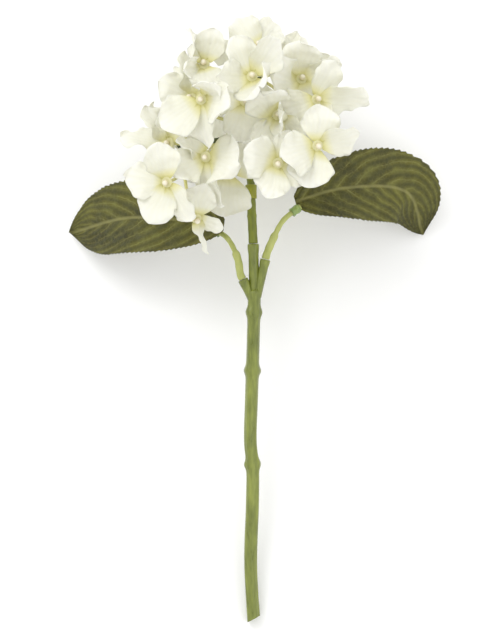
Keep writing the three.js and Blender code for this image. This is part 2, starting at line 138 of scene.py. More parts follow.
def joined(skins):
    # Several skins as one, with a material number for each.
    points, quads, fans, marks, kinds = [], [], [], [], []
    total = 0
    for (p, q, f, m), kind in skins:
        points.append(p)
        quads.append(q + total)
        fans.append(f + total)
        marks.append(m)
        kinds.append((len(q), len(f), kind))
        total += len(p)
    order = [np.full(n, kind) for n, _, kind in kinds] + [np.full(n, kind) for _, n, kind in kinds]
    return np.vstack(points), np.vstack(quads), np.vstack(fans), np.vstack(marks), np.concatenate(order)


def makePiece(name, skins, materials, nodes):
    # The skins laid down as one mesh, with their marks on its points. It stands for the CAD nodes.
    points, quads, fans, marks, kinds = joined(skins)
    mesh = bpy.data.meshes.new(name)
    mesh.from_pydata(laid(points).tolist(), [], quads.tolist() + fans.tolist())
    mesh.attributes.new("place", "FLOAT_VECTOR", "POINT").data.foreach_set("vector", marks.ravel())
    for material in materials:
        mesh.materials.append(material)
    mesh.polygons.foreach_set("material_index", kinds.astype(np.int32))
    mesh.polygons.foreach_set("use_smooth", np.ones(len(kinds), bool))
    mesh.update()
    piece = bpy.data.objects.new(name, mesh)
    bpy.context.scene.collection.objects.link(piece)
    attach(piece, "root")
    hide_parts(*nodes)
    return piece


# Sizes of the whole, in millimetres.
stemSizes = {
    "length": 213.0,         # cut end to the fork
    "radius": 4.1,
    "knuckle": 1.2,          # how far a leaf scar stands out
    "knuckles": (0.475, 0.755, 0.93),
    "cutAngle": 26.0,
    "touch": 1.9,            # how far up from the cut the stem touches the surface
    "joint": 29.0,           # fork to the joint
    "upper": 29.0,           # joint to the collar
    "upperRadius": 3.0,
    "collar": 9.0,
    "collarRadius": 3.7,
    "peduncle": 40.0,
    "peduncleRadius": 2.6,
    "crownRadius": 4.6,
    "gap": 0.3,
}
# The line wanders a little to the sides, so each joint has its own place across it.
collarHeight = stemSizes["length"] + stemSizes["joint"] + stemSizes["upper"]
crown = np.array([-2, collarHeight + stemSizes["peduncle"], -4])
headCentre = crown + (-3, 9, 4)
joint = np.array([0.8, stemSizes["length"] + stemSizes["joint"], 0])
collarFoot = np.array([-0.6, collarHeight, -1])


def findTip():
    # The stem lies on the surface at its cut end, and the height of the upper stem's middle gives
    # the angle: height = a sin(tip) + b cos(tip), from the stem's underside near the cut.
    low, high = np.array(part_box("upper_stem")) * 1000
    middle = (joint + collarFoot) / 2
    a, b = middle[1] - stemSizes["touch"], middle[2] + stemSizes["radius"]
    height = (low + high)[2] / 2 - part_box("stem")[0][2] * 1000
    tip = np.arcsin(height / np.hypot(a, b)) - np.arctan2(b, a)
    turn = np.array(Matrix.Rotation(tip, 3, "X"))
    return tip, turn, (low + high) / 2 - turn @ middle


tip, layTurn, layShift = findTip()
print("laid back by", round(float(np.degrees(tip)), 2), "degrees")


def laid(points):
    # Upright millimetres to laid metres: turned by the tip angle, shifted, and a thousandth.
    return (np.asarray(points, float) @ layTurn.T + layShift) / 1000


def newGroup(name, inputs, outputs):
    # A shader group with the given sockets, and its two ends.
    group = bpy.data.node_groups.new(name, "ShaderNodeTree")
    for label, kind, value in inputs:
        socket = group.interface.new_socket(name=label, in_out="INPUT", socket_type=kind)
        socket.default_value = value
    for label, kind in outputs:
        group.interface.new_socket(name=label, in_out="OUTPUT", socket_type=kind)
    return group, group.nodes.new("NodeGroupInput"), group.nodes.new("NodeGroupOutput")


def addNode(tree, kind, settings=None, **inputs):
    # Each input is a value or a socket to link. i0, i1 and so on name an input by its number.
    node = tree.nodes.new("ShaderNode" + kind)
    for name, value in (settings or {}).items():
        setattr(node, name, value)
    for name, value in inputs.items():
        key = int(name[1:]) if name[0] == "i" and name[1:].isdigit() else name.replace("_", " ")
        if isinstance(value, bpy.types.NodeSocket):
            tree.links.new(value, node.inputs[key])
        else:
            node.inputs[key].default_value = value
    return node


def sums(tree, operation, *values):
    # One step of arithmetic on values or sockets.
    inputs = {"i%d" % k: value for k, value in enumerate(values)}
    return addNode(tree, "Math", {"operation": operation}, **inputs).outputs[0]


def mixed(tree, share, a, b):
    # Colour a where the share is 0, b where it is 1, and between them by the share.
    return addNode(tree, "Mix", {"data_type": "RGBA"}, i0=share, i6=a, i7=b).outputs[2]


def rampOf(tree, value, stops):
    # A colour read off a band by the value. Each stop is a place on the band and its colour.
    node = addNode(tree, "ValToRGB", Fac=value)
    band = node.color_ramp
    while len(band.elements) < len(stops):
        band.elements.new(0.5)
    for element, (at, colour) in zip(band.elements, stops):
        element.position = at
        element.color = colour
    return node.outputs[0]


def tone(red, green, blue):
    # A colour given as it looks on screen, 0 to 255, made linear.
    c = np.array([red, green, blue]) / 255
    c = np.where(c <= 0.04045, c / 12.92, ((c + 0.055) / 1.055) ** 2.4)
    return (*c.tolist(), 1.0)


def makeClothGroup():
    # Woven threads. Height = fine noise + a quarter of (sin x sin y + half of sin z), where x, y and
    # z turn by pi over each thread. Thread is its width in metres, and Fleck is the noise alone.
    group, given, result = newGroup(
        "woven cloth",
        [("Vector", "NodeSocketVector", (0, 0, 0)), ("Thread", "NodeSocketFloat", 0.0004)],
        [("Height", "NodeSocketFloat"), ("Fleck", "NodeSocketFloat")],
    )
    where = given.outputs["Vector"]
    count = sums(group, "DIVIDE", np.pi, given.outputs["Thread"])
    scaled = addNode(group, "VectorMath", {"operation": "SCALE"}, i0=where, i3=count).outputs[0]
    axes = addNode(group, "SeparateXYZ", i0=scaled).outputs
    over = sums(group, "MULTIPLY", sums(group, "SINE", axes[0]), sums(group, "SINE", axes[1]))
    over = sums(group, "ADD", over, sums(group, "MULTIPLY", sums(group, "SINE", axes[2]), 0.5))
    noise = addNode(group, "TexNoise", Vector=where, Scale=900.0, Detail=3.0).outputs[0]
    group.links.new(sums(group, "MULTIPLY_ADD", over, 0.25, noise), result.inputs["Height"])
    group.links.new(noise, result.inputs["Fleck"])
    return group


def makeMottleGroup():
    # Uneven dye: broad soft patches with finer ones on top. Mask = 0.5 + 2 contrast (noise - 0.5),
    # kept within 0 and 1. Patch is a patch's size in metres.
    group, given, result = newGroup(
        "uneven dye",
        [("Vector", "NodeSocketVector", (0, 0, 0)), ("Patch", "NodeSocketFloat", 0.02),
         ("Contrast", "NodeSocketFloat", 1.0)],
        [("Mask", "NodeSocketFloat")],
    )
    where = given.outputs["Vector"]
    scale = sums(group, "DIVIDE", 1.0, given.outputs["Patch"])
    noise = addNode(group, "TexNoise", Vector=where, Scale=scale, Detail=4.0, Roughness=0.6).outputs[0]
    away = sums(group, "MULTIPLY", sums(group, "SUBTRACT", noise, 0.5), given.outputs["Contrast"])
    centred = sums(group, "ADD", sums(group, "MULTIPLY", away, 2.0), 0.5)
    mask = addNode(group, "Clamp", Value=centred).outputs[0]
    group.links.new(mask, result.inputs["Mask"])
    return group


cloth = makeClothGroup()
mottle = makeMottleGroup()


def startMaterial(name, **settings):
    # A new material, its node tree, its shader and the place on the piece in metres.
    material = bpy.data.materials.new(name)
    material.use_nodes = True
    tree = material.node_tree
    shader = tree.nodes["Principled BSDF"]
    for key, value in settings.items():
        shader.inputs[key.replace("_", " ")].default_value = value
    where = tree.nodes.new("ShaderNodeTexCoord").outputs["Object"]
    return material, tree, shader, where


def useGroup(tree, group, **inputs):
    # A shared group, placed in a material with values of its own.
    return addNode(tree, "Group", {"node_tree": group}, **inputs).outputs


def bumpFrom(tree, shader, height, strength, distance):
    # Leans the surface's normal by the slope of the height. Distance is its full height in metres.
    bump = addNode(tree, "Bump", Strength=strength, Distance=distance, Height=height)
    tree.links.new(bump.outputs[0], shader.inputs["Normal"])


def placeAxes(tree):
    # How far along and how far across or round, kept on each point, and a third number: a leaf's
    # vein number or a petal's phase.
    mark = addNode(tree, "Attribute", {"attribute_name": "place"})
    return addNode(tree, "SeparateXYZ", i0=mark.outputs["Vector"]).outputs


def seenThrough(tree, shader, colour, share):
    # Part of the light passes through and comes out soft on the other side.
    thin = addNode(tree, "BsdfTranslucent", Color=colour)
    mix = addNode(tree, "MixShader", Fac=share, i1=shader.outputs[0], i2=thin.outputs[0])
    output = next(n for n in tree.nodes if n.type == "OUTPUT_MATERIAL")
    tree.links.new(mix.outputs[0], output.inputs["Surface"])


petalLook = {
    # base and throat: the cloth's own yellow green, made deeper and yellower as painted shade of the floret's
    # middle
    "base": tone(200, 194, 92),
    "throat": tone(230, 226, 168),
    "blade": tone(241, 241, 228),
    # rim: paler at the tip, partly the cloth's own tone and partly a painted highlight
    "rim": tone(251, 251, 247),
    "shade": tone(230, 226, 192),
    "through": tone(250, 249, 234),
    "throatEnds": 0.28,      # share of the petal's length
    "patch": 0.012,          # m, size of a patch of uneven dye
    "thread": 0.00042,       # m
    "ribs": 26.0,            # how close the ribs stand
    "ribWander": 9.0,
    "sheerness": 0.24,       # share of the light that passes through
}


def petalMaterial():
    # Cream cloth: yellow green where it leaves the middle, its own green deepened by painted shade of the
    # floret's middle, fine ribs fanning out, and a paler rim that is partly a painted highlight on the tips.
    # A rib is a sine of the place across, times 1.5 less the place along, bent by noise.
    look = petalLook
    material, tree, shader, where = startMaterial("petalCloth", Sheen_Weight=0.15)
    along, across = placeAxes(tree)[0:2]
    patch = useGroup(tree, mottle, Vector=where, Patch=look["patch"], Contrast=1.1)["Mask"]
    weave = useGroup(tree, cloth, Vector=where, Thread=look["thread"])
    ray = sums(tree, "MULTIPLY", across, sums(tree, "SUBTRACT", 1.5, along))
    noise = addNode(tree, "TexNoise", Vector=where, Scale=60.0, Detail=2.0).outputs[0]
    bend = sums(tree, "MULTIPLY", noise, look["ribWander"])
    ribs = sums(tree, "SINE", sums(tree, "MULTIPLY_ADD", ray, look["ribs"], bend))
    # Along the petal: yellow green middle with painted shade, cream blade, and a tip with a painted
    # highlight.
    body = rampOf(tree, along, [
        (0.0, look["base"]),
        (0.1, look["throat"]),
        (look["throatEnds"], look["blade"]),
        (1.0, look["rim"]),
    ])
    body = mixed(tree, sums(tree, "MULTIPLY", patch, 0.16), body, look["shade"])
    ribShade = sums(tree, "MULTIPLY", sums(tree, "MULTIPLY_ADD", ribs, 0.5, 0.5), 0.10)
    body = mixed(tree, ribShade, body, look["shade"])
    tree.links.new(body, shader.inputs["Base Color"])
    height = sums(tree, "MULTIPLY_ADD", ribs, 0.8, sums(tree, "MULTIPLY", weave["Height"], 0.5))
    bumpFrom(tree, shader, height, 0.35, 0.00025)
    rough = addNode(tree, "MapRange", Value=weave["Fleck"], To_Min=0.62, To_Max=0.82).outputs[0]
    tree.links.new(rough, shader.inputs["Roughness"])
    seenThrough(tree, shader, look["through"], look["sheerness"])
    return material


def beadMaterial():
    # Pearl: darker where it meets the floret, painted shade at the join, with faint patches under a clear
    # coat.
    look = {"low": tone(196, 176, 110), "high": tone(242, 238, 222), "patch": 0.002, "roughness": 0.28}
    material, tree, shader, where = startMaterial(
        "pearlBead", Roughness=look["roughness"], Coat_Weight=0.4, Coat_Roughness=0.15)
    patch = useGroup(tree, mottle, Vector=where, Patch=look["patch"], Contrast=1.0)["Mask"]
    along = placeAxes(tree)[0]
    # Painted shade: the low colour at the foot, where the bead meets the floret, rises to the high one.
    body = mixed(tree, along, look["low"], look["high"])
    body = mixed(tree, sums(tree, "MULTIPLY", patch, 0.3), body, look["low"])
    tree.links.new(body, shader.inputs["Base Color"])
    bumpFrom(tree, shader, patch, 0.15, 0.0001)
    return material


# Colours, roughness, how far a streak is drawn out (less is longer), depth of the grain in metres, coat.
plasticLooks = {
    "stemPlastic": (tone(144, 153, 64), tone(78, 88, 12), 0.32, 0.12, 0.0004, 0.3),
    "upperPlastic": (tone(134, 142, 34), tone(76, 84, 8), 0.38, 0.15, 0.0003, 0.15),
    "collarPlastic": (tone(150, 152, 40), tone(110, 112, 22), 0.4, 0.5, 0.0002, 0.0),
    "stalkPlastic": (tone(190, 194, 120), tone(150, 158, 76), 0.45, 0.2, 0.0002, 0.0),
    "palePlastic": (tone(222, 216, 160), tone(188, 186, 104), 0.5, 0.3, 0.0001, 0.0),
    "rodPlastic": (tone(84, 92, 38), tone(46, 56, 20), 0.5, 0.4, 0.0002, 0.0),
    "clipPlastic": (tone(150, 168, 84), tone(72, 112, 62), 0.16, 0.6, 0.0001, 0.6),
}


def plasticMaterial(name, light, dark, roughness, streak, grainHeight, coat):
    # Moulded stem: long streaks of lighter and darker dye, fine lengthwise grain and small pits.
    material, tree, shader, where = startMaterial(name, Coat_Weight=coat, Coat_Roughness=0.2)
    flat = addNode(tree, "Mapping", Vector=where, Scale=(1, streak, 1)).outputs[0]
    patch = useGroup(tree, mottle, Vector=flat, Patch=0.0035, Contrast=1.3)["Mask"]
    broad = useGroup(tree, mottle, Vector=where, Patch=0.03, Contrast=1.0)["Mask"]
    share = sums(tree, "MULTIPLY_ADD", patch, 0.65, sums(tree, "MULTIPLY", broad, 0.35))
    tree.links.new(mixed(tree, share, dark, light), shader.inputs["Base Color"])
    grain = addNode(tree, "TexNoise", Vector=flat, Scale=1400.0, Detail=3.0).outputs[0]
    pits = addNode(tree, "TexVoronoi", Vector=where, Scale=160.0).outputs["Distance"]
    pitted = addNode(tree, "MapRange", Value=pits, From_Min=0.04, From_Max=0.16).outputs[0]
    bumpFrom(tree, shader, sums(tree, "MULTIPLY_ADD", pitted, 0.5, grain), 0.5, grainHeight)
    smooth, dull = roughness - 0.08, roughness + 0.14
    rough = addNode(tree, "MapRange", Value=patch, To_Min=smooth, To_Max=dull).outputs[0]
    tree.links.new(rough, shader.inputs["Roughness"])
    return material


leafLook = {
    "deep": tone(48, 49, 10),
    "olive": tone(116, 116, 44),
    "brown": tone(98, 86, 34),
    "vein": tone(158, 154, 96),
    "net": tone(136, 135, 66),
    "through": tone(120, 120, 50),
    "patch": 0.022,          # m, size of a patch of uneven dye
    "speckle": 0.005,        # m
    "thread": 0.0006,        # m
    "netScale": 330.0,       # cells of the net to a metre
    "sheerness": 0.08,
}


def leafMaterial():
    # Printed cloth: olive, browner in patches, lighter along the veins, with a net of small veins.
    # A side vein lies where the vein number, bent by noise, is whole.
    look = leafLook
    material, tree, shader, where = startMaterial("leafCloth")
    across, vein = placeAxes(tree)[1:3]
    patch = useGroup(tree, mottle, Vector=where, Patch=look["patch"], Contrast=1.5)["Mask"]
    small = useGroup(tree, mottle, Vector=where, Patch=look["speckle"], Contrast=1.2)["Mask"]
    weave = useGroup(tree, cloth, Vector=where, Thread=look["thread"])
    body = mixed(tree, patch, look["deep"], look["olive"])
    body = mixed(tree, sums(tree, "MULTIPLY", small, 0.35), body, look["brown"])
    toEdge = {"feature": "DISTANCE_TO_EDGE"}
    cells = addNode(tree, "TexVoronoi", toEdge, Vector=where, Scale=look["netScale"]).outputs["Distance"]
    net = fading(tree, cells, 0.02, 0.14)
    body = mixed(tree, sums(tree, "MULTIPLY", net, 0.28), body, look["net"])
    wander = addNode(tree, "TexNoise", Vector=where, Scale=90.0, Detail=3.0).outputs[0]
    bent = sums(tree, "MULTIPLY_ADD", sums(tree, "SUBTRACT", wander, 0.5), 0.7, vein)
    wave = sums(tree, "ABSOLUTE", sums(tree, "SINE", sums(tree, "MULTIPLY", bent, np.pi)))
    side = fading(tree, wave, 0.03, 0.22)
    body = mixed(tree, sums(tree, "MULTIPLY", sums(tree, "POWER", wave, 2.0), 0.6), body, look["deep"])
    middle = fading(tree, sums(tree, "ABSOLUTE", across), 0.4, 1.4)
    faint = sums(tree, "MULTIPLY", sums(tree, "MULTIPLY", side, small), 0.45)
    lines = sums(tree, "MAXIMUM", faint, sums(tree, "MULTIPLY", middle, 0.5))
    body = mixed(tree, lines, body, look["vein"])
    tree.links.new(body, shader.inputs["Base Color"])
    woven = sums(tree, "MULTIPLY", weave["Height"], 0.35)
    height = sums(tree, "ADD", sums(tree, "MULTIPLY", net, -0.7), woven)
    height = sums(tree, "MULTIPLY_ADD", lines, -0.8, height)
    bumpFrom(tree, shader, height, 0.55, 0.0004)
    rough = addNode(tree, "MapRange", Value=small, To_Min=0.52, To_Max=0.8).outputs[0]
    tree.links.new(rough, shader.inputs["Roughness"])
    seenThrough(tree, shader, look["through"], look["sheerness"])
    return material


def fading(tree, value, full, none):
    # 1 where the value is under full, 0 where it is over none, and straight between them.
    span = {"From_Min": full, "From_Max": none, "To_Min": 1.0, "To_Max": 0.0}
    return addNode(tree, "MapRange", Value=value, **span).outputs[0]


petalCloth = petalMaterial()
pearlBead = beadMaterial()
plastics = {name: plasticMaterial(name, *look) for name, look in plasticLooks.items()}
leafCloth = leafMaterial()
print("materials made")


stemShape = {
    "rings": 260,
    "around": 40,
    "ribs": 0.06,       # height of the lengthwise ribs, as a share of the radius
    "knuckleSkew": 0.1, # a leaf scar stands out more to the left and right
    "armRadius": 3.3,
    "socketRadius": 2.9,
    "footLength": 14.0, # mm up to which the slanted cut bends the rings
    "footLift": 1.6,    # mm, height of the cut at the middle of the stem
    "shoulder": 2.2,    # mm at the top over which the stem draws in
    "swellSpread": 10.0,  # mm2, how far along a leaf scar swells the stem
    "skewSpread": 7.0,    # mm2, how far along it widens to the sides
}
# How far the stem's line wanders to the right in millimetres, at shares of its length.
stemPath = np.array([
    [1, 0], [-0.9, 0.18], [0.4, 0.36], [0.5, 0.47],
    [-0.9, 0.54], [-0.2, 0.68], [0.7, 0.83], [1.5, 1],
])
fork = np.array([1.5, stemSizes["length"] - 4, 0])
leftSocket = np.array([[0, stemSizes["length"] - 6, 0], [-5.9, stemSizes["length"] + 6.2, 1]])
rightSocket = np.array([[3, stemSizes["length"] - 5, 0], [8.6, stemSizes["length"] + 19, 1]])


def makeStem():
    # The radius is swollen by a bell curve at each knuckle, exp(-distance squared / spread), and
    # changed round the ring by sines for the ribs. The foot is cut off at a slant by sliding its
    # points along the stem, by tan(cut angle) times their place across.
    s, m = stemSizes, stemShape
    shares = np.concatenate([[0, 0.001, 0.002], np.linspace(0.004, 0.995, m["rings"]), [0.9975, 1]])
    wander, up = stemPath.T
    path = smoothPath(np.column_stack([wander, up * s["length"], 0 * up]), shares)
    height = path[:, 1] / s["length"]
    swell = sum(np.exp(-((height - at) * s["length"]) ** 2 / m["swellSpread"]) for at in s["knuckles"])
    radii = s["radius"] + s["knuckle"] * swell * 0.75
    radii = radii * (1 - 0.35 * (1 - ramp(path[-1, 1] - path[:, 1], 0, m["shoulder"])) ** 2)
    turns = np.array(s["knuckles"])[:, None, None]

    def section(share, angle):
        at = np.interp(share, shares, height)
        near = np.exp(-((at[None] - turns) * s["length"]) ** 2 / m["skewSpread"])
        lean = (near * m["knuckleSkew"] * np.cos(2 * angle)).sum(axis=0)
        ribs = m["ribs"] * (np.sin(5 * angle + 6 * at) + 0.5 * np.sin(11 * angle - 9 * at))
        return 1 + ribs * 0.6 + lean

    body = tube(path, radii, m["around"], section)
    points = body[0]
    cutTop = m["footLift"] + np.tan(np.radians(s["cutAngle"])) * points[:, 0]
    foot = points[:, 1] < m["footLength"]
    lift = np.clip((m["footLength"] - points[:, 1]) / m["footLength"], 0, 1)
    points[foot, 1] += (lift * cutTop)[foot]
    arms = []
    arm, socket = m["armRadius"], m["socketRadius"]
    for ends, radius in (((fork, joint), arm), (leftSocket, socket), (rightSocket, socket)):
        share = np.array([0, 0.5, 0.8, 0.9, 0.955, 0.985, 1])
        line = smoothPath(ends, share)
        long = np.linalg.norm(ends[1] - ends[0])
        rim = radius * (1 + 0.12 * ramp(share * long, long - 5, long - 3.2)) * (1 - 0.12 * (share == 1))
        arms.append((tube(line, rim, 28), 0))
    return makePiece("stem", [(body, 0)] + arms, [plastics["stemPlastic"]], ["stem"])


def makeUpperStem():
    # A plain length, rippled along by a sine, with a bell curve for its knuckle ring.
    s = stemSizes
    share = np.linspace(0, 1, 60)
    ends = np.array([joint + (0, s["gap"], 0), collarFoot - (0, s["gap"], 0)])
    ripple = 1 + 0.02 * np.sin(share * 23) + 0.06 * np.exp(-((share - 0.62) / 0.03) ** 2)
    body = tube(smoothPath(ends, share), s["upperRadius"] * ripple * 0.97, 28)
    return makePiece("upperStem", [(body, 0)], [plastics["upperPlastic"]], ["upper_stem"])


def makePeduncle():
    # Collar with a turned-in lip, a thin stalk, and the round crown that the branches leave.
    s = stemSizes
    lip = collarFoot + (0, s["collar"], -0.4)
    share = np.array([0, 0.02, 0.06, 0.5, 0.92, 0.98, 1])
    shape = np.array([0.9, 0.98, 1, 0.97, 1, 0.95, 0.8])
    collar = tube(smoothPath([collarFoot, lip], share), s["collarRadius"] * shape, 30)
    stalkShare = np.linspace(0, 1, 30)
    radii = s["peduncleRadius"] * (1 - 0.03 * np.sin(stalkShare * 30))
    stalk = tube(smoothPath([lip - (0, 1, 0), crown], stalkShare), radii, 24)
    top = roundBall(crown, s["crownRadius"] * 0.97)
    return makePiece("peduncle", [(collar, 0), (stalk, 1), (top, 1)],
                     [plastics["collarPlastic"], plastics["upperPlastic"]], ["peduncle"])


def roundBall(centre, radius, count=20):
    # A ball as rings about the X way, from pole to pole.
    angle = np.linspace(-np.pi / 2 + 0.12, np.pi / 2 - 0.12, count)
    path = centre + np.outer(np.sin(angle) * radius, (1, 0, 0))
    return tube(path, np.cos(angle) * radius, 2 * count)


leafShape = {
    "length": 116.0, "width": 50.0, "drop": 46.0, "thickness": 0.5,
    "rows": 150, "columns": 33,
    "fold": 0.2,          # how steeply the halves rise from the midrib
    "veins": 10.0,        # side veins on each half
    "forward": 0.34,      # how far a side vein runs towards the tip by the time it meets the edge
    "quilt": 1.5,         # mm, how far the cloth rises between side veins
    "edgeWave": 1.6,      # mm, height of the waves along the edge
    "teeth": 38.0, "toothDepth": 0.05,
}
leafSides = {
    "left": {"socket": leftSocket, "stalk": [[-9, 19, 1], [-14.5, 31, -4], [-20, 36, -9], [-28, 38, -11]],
             "base": [-16.5, 41, -5], "midrib": [[-52, 45, 0.08], [-80, 46, 0.22], [-119, 37, 1]],
             "lean": 10, "wave": 0.3},
    "right": {"socket": rightSocket, "stalk": [[13, 31, 1], [20, 44, 0], [31, 53, -3]],
              "base": [26.5, 56, -8], "midrib": [[60, 65, 0.11], [100, 63, 0.48], [112, 36, 1]],
              "lean": -8, "wave": 2.1},
}
stalkShape = {"radius": 1.7, "sleeve": 2.5, "clipWall": 0.9}


finePath = 200   # points on a path that is read at many places


def leafHalfWidth(share, leaf):
    # Blunt at the base, fullest past the middle and straight-sided to the tip:
    # a share of the width, times (1 - (1 - share)^3)^0.6, times 1 - share^4.5.
    return 0.56 * leaf["width"] * (1 - (1 - share) ** 3) ** 0.6 * (1 - share**4.5)


def leafSurface(side, share, t, level):
    # t runs from -1 to 1 across the blade. The halves rise to the edges by the fold times the
    # distance from the midrib, the cloth swells between the side veins by the size of a sine of the
    # vein number, the edge waves and is toothed, and level sets the upper or lower skin.
    leaf = leafShape
    rib = np.array([side["base"]] + side["midrib"], float)
    rib[1:, 2] *= -leaf["drop"]
    rib[:, 1] += stemSizes["length"]
    pick = np.linspace(0, 1, finePath)
    path = smoothPath(rib, pick)
    along = unit(np.gradient(path, axis=0))
    centre = readOff(share, pick, path)
    way = unit(readOff(share, pick, along))
    lean = np.radians(side["lean"])
    forward = np.array([0, 0, 1.0])
    face = (forward * np.cos(lean) + np.cross(way, forward) * np.sin(lean)
            + way * (way @ forward)[..., None] * (1 - np.cos(lean)))
    across = unit(np.cross(face, way))
    up = np.cross(way, across)
    half = leafHalfWidth(share, leaf)
    tooth = (share * leaf["teeth"]) % 1
    edge = ramp(np.abs(t), 0.86, 1)
    wide = t * half * (1 - leaf["toothDepth"] * edge * (1 - tooth) - 0.012)
    vein = (share - leaf["forward"] * np.abs(t) ** 1.3 * (0.5 + share)) * leaf["veins"] + 0.5 * (t > 0)
    swell = np.abs(np.sin(np.pi * vein)) ** 0.7
    inside = ramp(np.abs(t), 0.02, 0.25) * (1 - 0.6 * ramp(np.abs(t), 0.7, 1))
    lift = leaf["fold"] * np.abs(wide) + leaf["quilt"] * (swell - 0.5) * inside
    edgeWave = np.abs(t) ** 2 * np.sin(9 * share + side["wave"] + 1.4 * np.sign(t))
    lift = lift + leaf["edgeWave"] * edgeWave * ramp(share, 0.05, 0.3)
    lift = lift - leaf["thickness"] * (1 - level) - 0.35 * (1 - ramp(np.abs(t), 0, 0.05))
    point = centre + across * wide[..., None] + up * lift[..., None]
    mark = np.stack([share, wide, vein], axis=-1)
    return point, mark


def makeLeaf(name, side):
    # The upper skin from edge to edge and back along the lower one, as rings along the midrib.
    leaf = leafShape
    share = np.concatenate([[0.012], np.linspace(0.02, 0.98, leaf["rows"]), [0.99, 0.996]])
    t = np.linspace(1, -1, leaf["columns"])
    columns = np.concatenate([t, t[::-1]])
    level = np.concatenate([np.ones(len(t)), np.zeros(len(t))])
    grids = np.broadcast_arrays(share[:, None], columns[None, :], level[None, :])
    rings, marks = leafSurface(side, *grids)
    return makePiece("leaf_" + name, [(closed(rings, marks), 0)], [leafCloth], ["leaf_" + name])


def stalkPath(side):
    # From just past the mouth of the socket, straight out of it and then up to the leaf.
    foot, mouth = side["socket"]
    along = unit(mouth - foot)
    start = mouth + along * stemSizes["gap"]
    return np.vstack([start, start + along * 3, np.array(side["stalk"]) + (0, stemSizes["length"], 0)])


def makePetiole(name, side):
    # Thick where it is sleeved, thin above, with a soft shoulder between.
    share = np.linspace(0, 1, 90)
    radii = stalkShape["sleeve"] + (stalkShape["radius"] - stalkShape["sleeve"]) * ramp(share, 0.38, 0.44)
    radii = radii * (1 + 0.04 * np.sin(share * 40)) * 0.98
    body = tube(smoothPath(stalkPath(side), share), radii, 24)
    label = "petiole_" + name
    return makePiece(label, [(body, 0)], [plastics["stalkPlastic"]], [label])


def makeClip(name, side):
    # An open sleeve: the profile runs up outside and back inside, and the ends meet.
    steps, count = 16, 32   # rings up each side, points round a ring
    outside, inside = np.linspace(0.83, 0.97, steps), np.linspace(0.966, 0.834, steps)
    share = np.concatenate([outside, [0.972, 0.968], inside, [0.828]])
    path = smoothPath(stalkPath(side), share)
    pick = np.linspace(0, 1, finePath)
    along, sideways, across = pathFrames(smoothPath(stalkPath(side), pick))
    inner, wall = stalkShape["radius"] + stemSizes["gap"], stalkShape["clipWall"]
    ripple = 1 + 0.05 * np.cos(np.linspace(0, 9, steps))
    radius = np.concatenate([(inner + wall) * ripple, [inner + wall * 0.8, inner + wall * 0.2],
                             np.full(steps, inner), [inner + wall * 0.5]])
    a, b = readOff(share, pick, sideways), readOff(share, pick, across)
    angle = np.linspace(0, 2 * np.pi, count, endpoint=False)
    rings = path[:, None] + radius[:, None, None] * (
        np.cos(angle)[None, :, None] * a[:, None] + np.sin(angle)[None, :, None] * b[:, None])
    rows = len(share)
    row, col = np.meshgrid(np.arange(rows), np.arange(count), indexing="ij")
    nextRow, nextCol = (row + 1) % rows, (col + 1) % count
    here, beside = row * count + col, row * count + nextCol
    quads = np.stack([here, beside, nextRow * count + nextCol, nextRow * count + col], axis=-1)
    marks = np.zeros((rows * count, 3))
    skin = (rings.reshape(-1, 3), quads.reshape(-1, 4), np.zeros((0, 3), int), marks)
    plastic = plastics["clipPlastic"]
    return makePiece("leafClip_" + name, [(skin, 0)], [plastic], ["leaf_clip_" + name])


makeStem()
makeUpperStem()
makePeduncle()
for name, side in leafSides.items():
    makePetiole(name, side)
    makeClip(name, side)
    makeLeaf(name, side)
print("stem and leaves made")


headShape = {"radius": 62.0, "nominal": 62.0, "branchRadius": 1.7, "knobRadius": 3.2}
floretShape = {
    "pedicelRadius": 1.1, "pearlRadius": 1.9,
    "length": 29.0, "width": 27.0, "thickness": 0.42,
    "claw": 4.4, "fineClaw": 7.0, "hubRadius": 3.4, "hubThickness": 1.6,
    "rows": 34, "columns": 19,
    "ruffle": 0.09,    # height of the edge's waves, as a share of the petal's width
    "uneven": 0.06,    # how much the outline wanders, as a share of the half width
    "crease": 0.45,    # mm, depth of the fold down the middle
    "ribs": 0.16,      # mm
    "crumple": 0.5,    # mm, height of the waves that run across the petal
}

